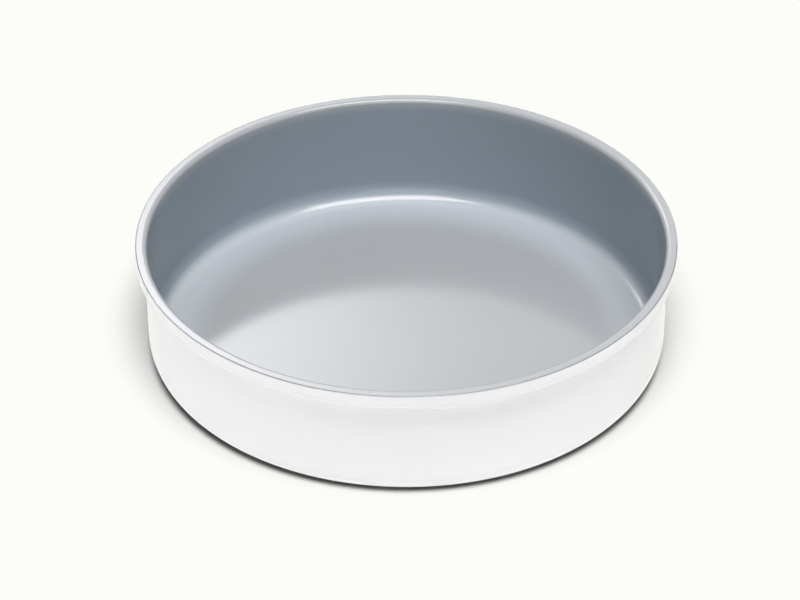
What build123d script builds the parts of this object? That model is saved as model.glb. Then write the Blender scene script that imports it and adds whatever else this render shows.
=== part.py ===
from build123d import *
import os

# A round cake tin with straight walls, pressed from one steel sheet. Millimetres, +Z up.
# The origin is the centre of the face that the tin stands on.

# The tin as a whole, measured on its finished coats
inside_diameter = 228.6  # wall to wall, the size the tin is sold by
height = 55.3  # from the table to the top of the rim
floor_corner_radius = 9.0  # inside, where the floor turns up into the wall

# The sheet and the coats fired on to it
steel_thickness = 0.7
lining_thickness = 0.1
enamel_thickness = 0.25

# The wire in the rim and the room it has inside the folded sheet
wire_diameter = 3.2
wire_play = 0.1  # beside the wire and under it
wire_headroom = 1.35  # over the wire, under the flat of the rim

# Bends of the sheet, each measured on the inside of its bend
shoulder_bend = 1.2  # from the wall out to the flat of the rim
edge_bend = 0.2  # from the flat of the rim down to the skirt
lip_bend = 0.3  # from the skirt in under the wire

# Where the folded edge comes back to the wall, and where the two coats meet
lip_gap = 0.25  # from the raw edge to the wall, filled with enamel
seam_radius = 0.5  # the enamel in the corner between the lip and the wall
parting_angle = 45  # degrees, down from the top of the rim's outer bend

# Places of the sheet's faces, inside and outside the tin
lined_wall = inside_diameter / 2 + lining_thickness
bare_wall = lined_wall + steel_thickness
floor_underside = enamel_thickness
floor_top = floor_underside + steel_thickness
rim_top = height - lining_thickness

# The curl round the wire
curl_width = wire_diameter + 2 * wire_play
curl_height = wire_play + wire_diameter + wire_headroom
skirt_face = bare_wall + curl_width + steel_thickness
lip_top = rim_top - steel_thickness - curl_height
lip_underside = lip_top - steel_thickness
lip_end = bare_wall + lip_gap
edge_radius = edge_bend + steel_thickness
edge_centre = (skirt_face - edge_radius, rim_top - edge_radius)


def corner_radius(depth):
    # The floor's corner on a face that lies this deep under the lined face of the sheet
    return floor_corner_radius + lining_thickness + depth


def inner_line(depth, end):
    # From the middle of the floor up the wall and out over the rim
    corners = [
        (0, floor_top - depth),
        (lined_wall + depth, floor_top - depth),
        (lined_wall + depth, rim_top - depth),
        (end, rim_top - depth),
    ]
    shoulder_radius = shoulder_bend + steel_thickness - depth
    return FilletPolyline(*corners, radius=[corner_radius(depth), shoulder_radius])


def skirt_line(depth):
    # From the foot of the rim's outer bend down the skirt and in under the wire
    corners = [
        (skirt_face - depth, edge_centre[1]),
        (skirt_face - depth, lip_underside + depth),
        (lip_end, lip_underside + depth),
    ]
    return FilletPolyline(*corners, radius=[lip_bend + steel_thickness - depth])


def edge_arc(depth, start, stop):
    # Part of the rim's outer bend, between two angles from the horizontal
    return CenterArc(edge_centre, edge_radius - depth, start, stop - start)


def spin(lines):
    # The solid that a closed outline of radius and height makes round the tin's axis
    return revolve(Plane.XZ * make_face(Curve() + lines), Axis.Z)


def make_steel_shell():
    faces = []
    for depth in (0, steel_thickness):
        faces.append([inner_line(depth, edge_centre[0]), edge_arc(depth, 90, 0), skirt_line(depth)])
    lined, bare = faces
    middle = Line(lined[0] @ 0, bare[0] @ 0)
    raw_edge = Line(lined[-1] @ 1, bare[-1] @ 1)
    return spin([*lined, *bare, middle, raw_edge])


def make_nonstick_lining():
    faces = []
    for depth in (0, -lining_thickness):
        arc = edge_arc(depth, 90, 90 - parting_angle)
        faces.append([inner_line(depth, edge_centre[0]), arc])
    under, shown = faces
    middle = Line(under[0] @ 0, shown[0] @ 0)
    parting = Line(under[-1] @ 1, shown[-1] @ 1)
    return spin([*under, *shown, middle, parting])


def make_outer_enamel():
    # Against the steel: the skirt, the raw edge of the lip, the gap, the wall and the underside
    skirt_under = skirt_line(0)
    arc_under = edge_arc(0, 90 - parting_angle, 0)
    raw_edge = Line(skirt_under @ 1, (lip_end, lip_top))
    gap_top = Line((lip_end, lip_top), (bare_wall, lip_top))
    wall_corners = [(bare_wall, lip_top), (bare_wall, floor_underside), (0, floor_underside)]
    wall_under = FilletPolyline(*wall_corners, radius=[corner_radius(steel_thickness)])

    # What shows: the underside, the wall, the lip and the skirt
    wall_shown = bare_wall + enamel_thickness
    lip_shown = lip_underside - enamel_thickness
    skirt_shown = skirt_face + enamel_thickness
    shown_corners = [
        (0, 0),
        (wall_shown, 0),
        (wall_shown, lip_shown),
        (skirt_shown, lip_shown),
        (skirt_shown, edge_centre[1]),
    ]
    shown_radii = [
        corner_radius(steel_thickness + enamel_thickness),
        seam_radius,
        lip_bend + steel_thickness + enamel_thickness,
    ]
    shown = FilletPolyline(*shown_corners, radius=shown_radii)
    arc_shown = edge_arc(-enamel_thickness, 90 - parting_angle, 0)

    middle = Line((0, 0), (0, floor_underside))
    parting = Line(arc_under @ 0, arc_shown @ 0)
    against_steel = [arc_under, skirt_under, raw_edge, gap_top, wall_under]
    return spin([*against_steel, middle, shown, arc_shown, parting])


def make_rim_wire():
    ring_radius = bare_wall + curl_width / 2
    centre_height = lip_top + wire_play + wire_diameter / 2
    return Pos(0, 0, centre_height) * Torus(ring_radius, wire_diameter / 2)


pieces = {
    "steel_shell": make_steel_shell(),
    "rim_wire": make_rim_wire(),
    "nonstick_lining": make_nonstick_lining(),
    "outer_enamel": make_outer_enamel(),
}

os.makedirs("parts", exist_ok=True)
for name, piece in pieces.items():
    export_step(piece, f"parts/{name}.step")
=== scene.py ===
import math
import bmesh
import bpy
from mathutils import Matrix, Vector


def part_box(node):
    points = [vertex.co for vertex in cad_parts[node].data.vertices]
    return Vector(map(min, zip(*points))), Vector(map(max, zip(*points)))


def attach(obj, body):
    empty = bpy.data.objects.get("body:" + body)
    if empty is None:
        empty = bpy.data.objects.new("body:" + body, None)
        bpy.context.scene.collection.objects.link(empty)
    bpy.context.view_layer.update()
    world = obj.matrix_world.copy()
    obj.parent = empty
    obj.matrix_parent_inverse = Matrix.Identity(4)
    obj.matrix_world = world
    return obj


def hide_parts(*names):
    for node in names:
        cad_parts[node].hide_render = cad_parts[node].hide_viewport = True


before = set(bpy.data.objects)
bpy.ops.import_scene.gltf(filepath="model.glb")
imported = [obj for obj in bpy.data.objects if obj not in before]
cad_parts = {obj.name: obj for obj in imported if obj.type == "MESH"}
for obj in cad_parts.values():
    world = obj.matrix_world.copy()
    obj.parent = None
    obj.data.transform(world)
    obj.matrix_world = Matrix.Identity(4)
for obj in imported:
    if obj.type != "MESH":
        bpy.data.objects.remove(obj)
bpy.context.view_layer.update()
print("frame loaded:", ", ".join(sorted(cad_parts)))

# Sizes that the coats and the steel sheet share, in metres
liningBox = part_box("nonstick_lining")
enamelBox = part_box("outer_enamel")
tin = {
    "rimTop": liningBox[1].z,
    "rimRadius": enamelBox[1].x,
    "sides": 288,              # facets round the tin
    "liningThickness": 0.0001,
    "enamelThickness": 0.00025,
    "sheetThickness": 0.0007,
    "rimBend": 0.0005,         # under the coats, from the rim's flat to the skirt
    "partingAngle": 40,        # degrees from the top of that bend to where the coats meet
    "partingGap": 0.00024,     # bare steel between the two coats
}
bendRadius = tin["rimBend"]
bendCentre = Vector((          # as a radius and a height
    tin["rimRadius"] - tin["enamelThickness"] - bendRadius,
    tin["rimTop"] - tin["liningThickness"] - bendRadius,
))


# Modelling helpers

making = {
    "ringReach": 0.00002,      # how near to its radius and height an edge has to be
    "cutMargin": 1.01,         # bends, a little over one, so that the face that ends there counts
    "cutReach": 0.000001,      # corners this near to the cut count as on it
    "mergeReach": 0.00001,     # closes the inside of the tightest fold
    "sharpAngle": 40,          # degrees, past which an edge is shaded sharp
}


def startDisc(name, radius, height):
    # a flat disc to shape in edit mode, with its place in its mesh
    bpy.ops.object.select_all(action="DESELECT")
    bpy.ops.mesh.primitive_circle_add(
        vertices=tin["sides"], radius=radius, fill_type="NGON", location=(0, 0, height))
    piece = bpy.context.object
    piece.name = piece.data.name = name
    bpy.ops.object.transform_apply(location=True, rotation=False, scale=False)
    bpy.ops.object.mode_set(mode="EDIT")
    return piece


def pick(piece, kind, test):
    # selects the edges or faces whose corners pass a test on their radii and heights
    bpy.ops.mesh.select_mode(type=kind)
    bpy.ops.mesh.select_all(action="DESELECT")
    mesh = bmesh.from_edit_mesh(piece.data)
    for part in mesh.edges if kind == "EDGE" else mesh.faces:
        points = [corner.co for corner in part.verts]
        radii = [point.xy.length for point in points]
        heights = [point.z for point in points]
        part.select_set(test(radii, heights))
    mesh.select_flush_mode()
    bmesh.update_edit_mesh(piece.data)


def pickRing(piece, radius, height):
    # selects one ring of edges round the axis
    near = making["ringReach"]
    pick(piece, "EDGE", lambda radii, heights: all(
        abs(r - radius) < near for r in radii) and all(abs(h - height) < near for h in heights))


def pickDisc(piece, above=-1):
    # selects the flat disc, the only face with more than four corners, if it lies above a height
    pick(piece, "FACE", lambda radii, heights: len(radii) > 4 and min(heights) > above)


def raiseRing(up):
    # carries the picked ring on, up or down the axis
    bpy.ops.mesh.extrude_region_move(TRANSFORM_OT_translate={"value": (0, 0, up)})


def widenRing(before, after):
    # carries the picked ring on, out or in, from one radius to another
    share = after / before
    bpy.ops.mesh.extrude_region_move(TRANSFORM_OT_translate={"value": (0, 0, 0)})
    bpy.ops.transform.resize(value=(share, share, 1), center_override=(0, 0, 0))


def roundRing(piece, radius, height, bend, segments):
    # turns the corner along one ring into a bend
    pickRing(piece, radius, height)
    bpy.ops.mesh.bevel(
        offset=bend, segments=segments, profile=0.5, affect="EDGES", clamp_overlap=False)


def ringTheFloor(piece, rings, width):
    # concentric rings on the flat disc, and a point that closes its middle
    pickDisc(piece)
    for ring in range(rings):
        bpy.ops.mesh.inset(thickness=width, depth=0)
    bpy.ops.mesh.poke()


def openEnd(piece, above):
    # takes off the flat face that the extrusions carried along to the sheet's end
    pickDisc(piece, above)
    bpy.ops.mesh.delete(type="FACE")


def trimSkirt(piece, bend, angle, keepAbove):
    # cuts a coat off at the parting line, on the rim's outer bend only
    height = bendCentre.y + bend * math.cos(math.radians(angle))
    inner = bendCentre.x - making["cutMargin"] * bend
    pick(piece, "FACE", lambda radii, heights: min(radii) > inner)
    bpy.ops.mesh.bisect(
        plane_co=(0, 0, height), plane_no=(0, 0, 1), threshold=making["cutReach"],
        clear_inner=keepAbove, clear_outer=not keepAbove)


def finishShell(piece, thickness):
    # gives the sheet its thickness behind the face that shows, and shades it
    bpy.ops.object.mode_set(mode="OBJECT")
    wall = piece.modifiers.new("thickness", "SOLIDIFY")
    wall.thickness = thickness
    wall.offset = -1
    wall.use_even_offset = True
    bpy.ops.object.modifier_apply(modifier=wall.name)
    bpy.ops.object.shade_smooth_by_angle(angle=math.radians(making["sharpAngle"]))
    bpy.ops.object.mode_set(mode="EDIT")
    bpy.ops.mesh.select_all(action="SELECT")
    bpy.ops.mesh.remove_doubles(threshold=making["mergeReach"])
    bpy.ops.object.mode_set(mode="OBJECT")
    shading = piece.modifiers.new("flat faces stay flat", "WEIGHTED_NORMAL")
    shading.keep_sharp = True
    bpy.ops.object.modifier_apply(modifier=shading.name)


# The grey coat inside the tin and over the top of the rim

lining = {
    "insideRadius": 0.1143,
    "floorHeight": 0.00105,
    "floorCorner": 0.009,      # bend from the floor up to the wall
    "shoulder": 0.002,         # and from the wall out to the rim
    "floorRings": 8,
    "floorRingWidth": 0.012,
    "cornerSegments": 20,
    "shoulderSegments": 10,
    "bendSegments": 8,
}


def makeLining():
    bend = bendRadius + tin["liningThickness"]
    edge = bendCentre.x + bend
    wall, floor = lining["insideRadius"], lining["floorHeight"]
    piece = startDisc("lining_coat", wall, floor)
    bpy.ops.mesh.flip_normals()            # the side that shows is the inside
    pickRing(piece, wall, floor)
    raiseRing(tin["rimTop"] - floor)
    widenRing(wall, edge)
    raiseRing(-2 * bend)
    roundRing(piece, wall, floor, lining["floorCorner"], lining["cornerSegments"])
    roundRing(piece, wall, tin["rimTop"], lining["shoulder"], lining["shoulderSegments"])
    roundRing(piece, edge, tin["rimTop"], bend, lining["bendSegments"])
    halfGap = math.degrees(tin["partingGap"] / 2 / bend)
    trimSkirt(piece, bend, tin["partingAngle"] - halfGap, keepAbove=True)
    ringTheFloor(piece, lining["floorRings"], lining["floorRingWidth"])
    finishShell(piece, tin["liningThickness"])
    return piece


# The white coat on the skirt, round the lip, down the wall and under the base

enamel = {
    "baseCorner": 0.01005,     # bend from the base up to the wall
    "lipHeight": 0.0489,
    "lipBend": 0.00125,        # from the skirt to the lip
    "seam": 0.0005,            # where the lip meets the wall
    "floorRings": 8,
    "floorRingWidth": 0.012,
    "cornerSegments": 20,
    "lipSegments": 8,
    "seamSegments": 5,
    "bendSegments": 8,
}
wallOutside = (lining["insideRadius"] + tin["liningThickness"]
               + tin["sheetThickness"] + tin["enamelThickness"])


def makeEnamel():
    bend = bendRadius + tin["enamelThickness"]
    top = bendCentre.y + bend
    rim, lip = tin["rimRadius"], enamel["lipHeight"]
    piece = startDisc("enamel_coat", wallOutside, 0)
    pickRing(piece, wallOutside, 0)
    raiseRing(lip)
    widenRing(wallOutside, rim)
    raiseRing(top - lip)
    widenRing(rim, rim - 2 * bend)
    roundRing(piece, wallOutside, 0, enamel["baseCorner"], enamel["cornerSegments"])
    roundRing(piece, wallOutside, lip, enamel["seam"], enamel["seamSegments"])
    roundRing(piece, rim, lip, enamel["lipBend"], enamel["lipSegments"])
    roundRing(piece, rim, top, bend, enamel["bendSegments"])
    halfGap = math.degrees(tin["partingGap"] / 2 / bend)
    trimSkirt(piece, bend, tin["partingAngle"] + halfGap, keepAbove=False)
    ringTheFloor(piece, enamel["floorRings"], enamel["floorRingWidth"])
    finishShell(piece, tin["enamelThickness"])
    return piece


# The drawn steel sheet under both coats: pan, rim, skirt and turned-in lip in one

steel = {
    "fold": 0.0007,            # from the rim's flat to the skirt, as tight as the sheet goes
    "floorRings": 8,
    "floorRingWidth": 0.012,
    "cornerSegments": 20,
    "shoulderSegments": 10,
    "foldSegments": 8,
}


def makeSteel():
    under = tin["liningThickness"]
    wall, floor = lining["insideRadius"] + under, lining["floorHeight"] - under
    top, skirt = tin["rimTop"] - under, tin["rimRadius"] - tin["enamelThickness"]
    lip = enamel["lipHeight"] + tin["enamelThickness"]
    piece = startDisc("steel_sheet", wall, floor)
    bpy.ops.mesh.flip_normals()            # its inside is drawn, and the thickness goes outwards
    pickRing(piece, wall, floor)
    raiseRing(top - floor)
    widenRing(wall, skirt)
    raiseRing(lip - top)
    widenRing(skirt, wallOutside)
    openEnd(piece, above=lip / 2)
    roundRing(piece, wall, floor, lining["floorCorner"] + under, steel["cornerSegments"])
    roundRing(piece, wall, top, lining["shoulder"] - under, steel["shoulderSegments"])
    roundRing(piece, skirt, top, steel["fold"], steel["foldSegments"])
    roundRing(piece, skirt, lip, enamel["lipBend"] - tin["enamelThickness"], steel["foldSegments"])
    ringTheFloor(piece, steel["floorRings"], steel["floorRingWidth"])
    finishShell(piece, tin["sheetThickness"])
    return piece


# Shader maths

class Wire:
    # wraps an output socket, so that sums of sockets are written as Python sums
    def __init__(self, tree, socket):
        self.tree = tree
        self.socket = socket

    def node(self, kind, settings, inputs, output=0):
        made = self.tree.nodes.new(kind)
        for name, value in settings.items():
            setattr(made, name, value)
        for name, value in inputs.items():
            if isinstance(value, Wire):
                self.tree.links.new(value.socket, made.inputs[name])
            else:
                made.inputs[name].default_value = value
        return Wire(self.tree, made.outputs[output])

    def maths(self, operation, *values):
        return self.node("ShaderNodeMath", {"operation": operation}, dict(enumerate(values)))

    def __add__(self, other):
        return self.maths("ADD", self, other)

    __radd__ = __add__

    def __sub__(self, other):
        return self.maths("SUBTRACT", self, other)

    def __rsub__(self, other):
        return self.maths("SUBTRACT", other, self)

    def __mul__(self, other):
        return self.maths("MULTIPLY", self, other)

    __rmul__ = __mul__

    def __pow__(self, other):
        return self.maths("POWER", self, other)

    def larger(self, other):
        return self.maths("MAXIMUM", self, other)

    def noise(self, size, detail):
        # soft random pattern from 0 to 1, with features about this big in metres
        return self.node("ShaderNodeTexNoise", {}, {
            "Vector": self, "Scale": 1 / size, "Detail": detail})

    def around(self, middle, spread):
        # a value that drifts round its middle as this noise does, within spread from end to end
        return middle + (self - 0.5) * spread

    def step(self, low, high):
        # 0 below low, 1 above high, smooth between
        return self.node("ShaderNodeMapRange", {"interpolation_type": "SMOOTHSTEP"}, {
            "Value": self, "From Min": low, "From Max": high, "To Min": 0, "To Max": 1})

    def mixColour(self, first, second):
        # first where this is 0, second where it is 1: sockets 6 and 7 are the node's colours
        return self.node(
            "ShaderNodeMix", {"data_type": "RGBA"}, {0: self, 6: first, 7: second}, output=2)

    def scale(self, share):
        # this vector or colour times one number
        return self.node("ShaderNodeVectorMath", {"operation": "SCALE"}, {0: self, "Scale": share})

    def bump(self, height):
        # a Bump node's normal, where 1 in this pattern is that many metres high
        return self.node("ShaderNodeBump", {}, {"Height": self, "Distance": height, "Strength": 1.0})

    def part(self, axis):
        # x, y or z of this vector, for an axis of 0, 1 or 2
        return self.node("ShaderNodeSeparateXYZ", {}, {0: self}, output=axis)


def startMaterial(name):
    material = bpy.data.materials.new(name)
    material.use_nodes = True
    tree = material.node_tree
    shader = tree.nodes["Principled BSDF"]
    place = Wire(tree, tree.nodes.new("ShaderNodeTexCoord").outputs["Object"])
    return material, shader, place


def feed(shader, values):
    # sets or links sockets of a shader
    for name, value in values.items():
        if isinstance(value, Wire):
            value.tree.links.new(value.socket, shader.inputs[name])
        else:
            shader.inputs[name].default_value = value


def axisRadius(place, centre=(0, 0)):
    # distance from the tin's axis, or from another upright line
    x, y = place.part(0) - centre[0], place.part(1) - centre[1]
    return (x * x + y * y) ** 0.5


greyCoat = {
    "floorColour": (0.383, 0.4, 0.418, 1),
    "paintedLightColour": (0.468, 0.498, 0.535, 1),  # painted light: paler round the edge of the floor
    "paintedLightReach": (0.085, 0.104),             # radii between which that comes in
    "edgeHead": (0.03, 0.01),                # heights between which it goes again, off the rim
    "wallShadeColour": (0.253, 0.298, 0.343, 1),  # painted shade: darker and bluer up the wall
    "wallShadeFoot": (0.0011, 0.006),             # heights between which that comes in
    "wallHead": (0.0556, 0.0485),            # and goes again towards the rim, so the wall's top is painted lighter
    "cloudSpread": 0.07,                     # share by which the tone drifts
    "cloudSize": 0.07,
    "cloudDetail": 3,
    "roughness": 0.5,
    "roughnessSpread": 0.05,
    "specular": 0.2,
    "gloss": 1.0,
    "wallGloss": 0.3,                        # the wall is duller
    "glossIndex": 1.52,
    "glossRoughness": 0.14,
    "peelSize": 0.0016,                      # the coat's fine unevenness, as sprayed
    "peelDetail": 2,
    "peelHeight": 0.000004,
}


def makeGreyCoat():
    material, shader, place = startMaterial("grey_ceramic")
    cloud = place.noise(greyCoat["cloudSize"], greyCoat["cloudDetail"])
    peel = place.noise(greyCoat["peelSize"], greyCoat["peelDetail"])
    height = place.part(2)
    # where the wall's painted shade lies; the same mask dulls the wall's gloss
    wall = height.step(*greyCoat["wallShadeFoot"]) * height.step(*greyCoat["wallHead"])
    # the painted light, a paler ring round the floor's edge
    edge = axisRadius(place).step(*greyCoat["paintedLightReach"]) * height.step(*greyCoat["edgeHead"])
    colour = edge.mixColour(greyCoat["floorColour"], greyCoat["paintedLightColour"])
    colour = wall.mixColour(colour, greyCoat["wallShadeColour"])
    feed(shader, {
        "Base Color": colour.scale(cloud.around(1, greyCoat["cloudSpread"])),
        "Roughness": cloud.around(greyCoat["roughness"], greyCoat["roughnessSpread"]),
        "Specular IOR Level": greyCoat["specular"],
        "Coat Weight": greyCoat["gloss"] + wall * (greyCoat["wallGloss"] - greyCoat["gloss"]),
        "Coat IOR": greyCoat["glossIndex"],
        "Coat Roughness": greyCoat["glossRoughness"],
        "Normal": peel.bump(greyCoat["peelHeight"]),
    })
    return material


whiteCoat = {
    "colour": (0.91, 0.905, 0.9, 1),
    "cloudColour": (0.895, 0.892, 0.89, 1),
    "cloudSize": 0.09,
    "cloudDetail": 3,
    "partingShadeColour": (0.45, 0.45, 0.45, 1),     # painted shade: darker at its top edge, along the parting line
    "partingShadeReach": (0.0546, 0.0553),           # heights between which that comes in
    "roughness": 0.45,
    "gloss": 1.0,
    "glossRoughness": 0.12,
    "peelSize": 0.002,                       # the coat's fine unevenness, as sprayed
    "peelDetail": 2,
    "peelHeight": 0.000005,
}


def makeWhiteCoat():
    material, shader, place = startMaterial("white_enamel_gloss")
    cloud = place.noise(whiteCoat["cloudSize"], whiteCoat["cloudDetail"])
    peel = place.noise(whiteCoat["peelSize"], whiteCoat["peelDetail"])
    colour = cloud.mixColour(whiteCoat["colour"], whiteCoat["cloudColour"])
    # painted shade along the parting line between the coats
    thin = place.part(2).step(*whiteCoat["partingShadeReach"])
    feed(shader, {
        "Base Color": thin.mixColour(colour, whiteCoat["partingShadeColour"]),
        "Roughness": whiteCoat["roughness"],
        "Coat Weight": whiteCoat["gloss"],
        "Coat Roughness": whiteCoat["glossRoughness"],
        "Normal": peel.bump(whiteCoat["peelHeight"]),
    })
    return material


bareSteel = {
    "sheetShadeColour": (0.16, 0.165, 0.17, 1),   # painted shade: drawn dark, as it shows only in the gap between the coats
    "wireColour": (0.4, 0.4, 0.41, 1),
    "roughness": 0.35,
    "roughnessSpread": 0.2,
    "scratchSize": 0.0008,
    "scratchDetail": 3,
}


def makeBareSteel(name, colour):
    material, shader, place = startMaterial(name)
    scratch = place.noise(bareSteel["scratchSize"], bareSteel["scratchDetail"])
    feed(shader, {
        "Base Color": colour,
        "Metallic": 1.0,
        "Roughness": scratch.around(bareSteel["roughness"], bareSteel["roughnessSpread"]),
    })
    return material


def dress(piece, material):
    piece.data.materials.clear()
    piece.data.materials.append(material)


liningCoat = makeLining()
dress(liningCoat, makeGreyCoat())
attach(liningCoat, "root")
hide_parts("nonstick_lining")
print("lining modelled:", len(liningCoat.data.polygons), "faces")

enamelCoat = makeEnamel()
dress(enamelCoat, makeWhiteCoat())
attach(enamelCoat, "root")
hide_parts("outer_enamel")
print("enamel modelled:", len(enamelCoat.data.polygons), "faces")

steelSheet = makeSteel()
dress(steelSheet, makeBareSteel("aluminised_steel", bareSteel["sheetShadeColour"]))
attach(steelSheet, "root")
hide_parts("steel_shell")
print("steel sheet modelled:", len(steelSheet.data.polygons), "faces")

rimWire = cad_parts["rim_wire"]
rimWire.material_slots[0].material = makeBareSteel("drawn_wire", bareSteel["wireColour"])
print("wire dressed")


# Camera, floor and lights

view = {
    "place": (0, -1.2091, 0.865),
    "downTilt": 34.93,         # degrees below the horizon
    "lens": 148.5,
    "sensor": 36,
    "shiftX": -0.0079,
}


def makeCamera():
    camera = bpy.data.objects.new("camera", bpy.data.cameras.new("camera"))
    bpy.context.scene.collection.objects.link(camera)
    camera.location = view["place"]
    camera.rotation_euler = (math.radians(90 - view["downTilt"]), 0, 0)
    camera.data.sensor_width = view["sensor"]
    camera.data.lens = view["lens"]
    camera.data.shift_x = view["shiftX"]
    bpy.context.scene.camera = camera


studio = {
    "backdrop": (0.973, 0.982, 0.939, 1),
    "floorBounce": (0.92, 0.92, 0.92, 1),    # the floor's colour for the light that it throws up
    "floorSeen": (0.72, 0.73, 0.71, 1),      # and for the camera, so that it stays under white
    "floorSize": 12,
    "shadowReach": (0.113, 0.14),            # radii between which the floor's own shade fades
    "shadowPlace": (-0.0005, 0.02),          # their centre
    "contactReach": (0.1127, 0.1169),        # radii between which the painted shadow at the foot fades
    "contactPlace": (-0.0003, 0.0027),       # their centre
    "contactShade": (0.13, 0.13, 0.13, 1),
    "ambient": 0.02,                         # the backdrop's strength as light on the tin
    "mirrored": 0.95,                        # and in the tin's reflections
    "windowColour": (0.97, 0.94, 1, 1),
    "windowDepth": (0, 0.3),                 # windows fade in from beside the tin to behind it
}

# Three soft-edged parts of the sky. An edge fades in from its first number to its second, in
# the direction's x for the sides and its z for the foot and the head
windows = {
    "window": {
        "right": (0.03, -0.1), "left": (-0.31, -0.23),
        "foot": (0.52, 0.56), "head": (0.68, 0.64), "glow": 7.2},
    "sky": {
        "right": (0.4, 0.1), "left": (-0.6, -0.4),
        "foot": (0.28, 0.36), "head": (0.8, 0.6), "glow": 0.65},
    "streak": {
        "right": (-0.42, -0.46), "left": (-0.62, -0.57),
        "foot": (0.4, 0.46), "head": (0.62, 0.58), "glow": 4.3},
}


def seenByCamera(tree):
    # 1 for what the camera sees, straight or mirrored, and 1 for what it sees straight
    path = tree.nodes.new("ShaderNodeLightPath")
    camera = Wire(tree, path.outputs["Is Camera Ray"])
    glossy = Wire(tree, path.outputs["Is Glossy Ray"])
    clear = Wire(tree, path.outputs["Is Transmission Ray"])
    return camera.larger(glossy.larger(clear)), camera


def makeFloor():
    bpy.ops.object.select_all(action="DESELECT")
    bpy.ops.mesh.primitive_plane_add(size=studio["floorSize"])
    floor = bpy.context.object
    floor.name = "studio_floor"
    material, shader, place = startMaterial("studio_floor")
    tree = material.node_tree
    seen, camera = seenByCamera(tree)
    unseen = 1 - camera        # the tin mirrors a plain bright floor, without the two shades
    # a painted shadow at the tin's foot, drawn for the camera alone
    contact = axisRadius(place, studio["contactPlace"]).step(*studio["contactReach"])
    contact = contact.larger(unseen)
    drawn = contact.mixColour(studio["contactShade"], studio["floorSeen"])
    feed(shader, {
        "Base Color": seen.mixColour(studio["floorBounce"], drawn),
        "Roughness": 1.0,
        "Specular IOR Level": 0.0,
    })
    far = axisRadius(place, studio["shadowPlace"]).step(*studio["shadowReach"]).larger(unseen)
    glow = place.node("ShaderNodeEmission", {}, {"Color": studio["backdrop"], "Strength": 1.0})
    blend = place.node("ShaderNodeMixShader", {}, {
        0: far * contact * seen, 1: Wire(tree, shader.outputs[0]), 2: glow})
    tree.links.new(blend.socket, tree.nodes["Material Output"].inputs["Surface"])
    dress(floor, material)


def makeWorld():
    world = bpy.data.worlds.new("studio")
    world.use_nodes = True
    bpy.context.scene.world = world
    tree = world.node_tree
    background = tree.nodes["Background"]
    seen, camera = seenByCamera(tree)
    direction = Wire(tree, tree.nodes.new("ShaderNodeTexCoord").outputs["Generated"])
    side, depth, height = direction.part(0), direction.part(1), direction.part(2)

    def opening(name):
        panel = windows[name]
        across = side.step(*panel["right"]) * side.step(*panel["left"])
        up = height.step(*panel["foot"]) * height.step(*panel["head"])
        return across * depth.step(*studio["windowDepth"]) * up * panel["glow"]

    # full for the camera, nearly so in reflections, and faint as light on the tin
    strength = (studio["ambient"] + seen * (studio["mirrored"] - studio["ambient"])
                + camera * (1 - studio["mirrored"]))
    plain = side.node("ShaderNodeBackground", {}, {
        "Color": seen.mixColour((1, 1, 1, 1), studio["backdrop"]), "Strength": strength})
    light = (opening("window") + opening("sky") + opening("streak")) * (1 - camera)
    bright = side.node("ShaderNodeBackground", {}, {
        "Color": studio["windowColour"], "Strength": light})
    both = side.node("ShaderNodeAddShader", {}, {0: plain, 1: bright})
    tree.nodes.remove(background)
    tree.links.new(both.socket, tree.nodes["World Output"].inputs["Surface"])


keyColour = (1, 0.99, 0.98)
fillColour = (0.93, 0.96, 1)
lamps = {
    "key": {"place": (0.1, -0.27, 1.2), "size": (0.96, 0.56), "glow": 9.55, "colour": keyColour},
    "front": {"place": (0, -1.5, 0.75), "size": (1.0, 0.5), "glow": 4.2, "colour": fillColour},
    "left": {"place": (-1.3, 0, 0.03), "size": (1.2, 0.05), "glow": 24, "colour": fillColour},
    "right": {"place": (1.3, 0, 0.03), "size": (1.2, 0.05), "glow": 14, "colour": fillColour},
}


def makeLamp(name, lamp):
    # a softbox that faces the tin, as bright per area as its glow says
    light = bpy.data.lights.new(name, "AREA")
    light.shape = "RECTANGLE"
    light.size, light.size_y = lamp["size"]
    light.energy = lamp["glow"] * math.pi * light.size * light.size_y
    light.color = lamp["colour"]
    holder = bpy.data.objects.new(name, light)
    bpy.context.scene.collection.objects.link(holder)
    holder.location = lamp["place"]
    holder.rotation_euler = (-Vector(lamp["place"])).to_track_quat("-Z", "Y").to_euler()
    holder.visible_camera = False


makeCamera()
makeFloor()
makeWorld()
for name, lamp in lamps.items():
    makeLamp(name, lamp)
bpy.context.scene.view_settings.view_transform = "Standard"
print("studio lit with", len(lamps), "lamps")
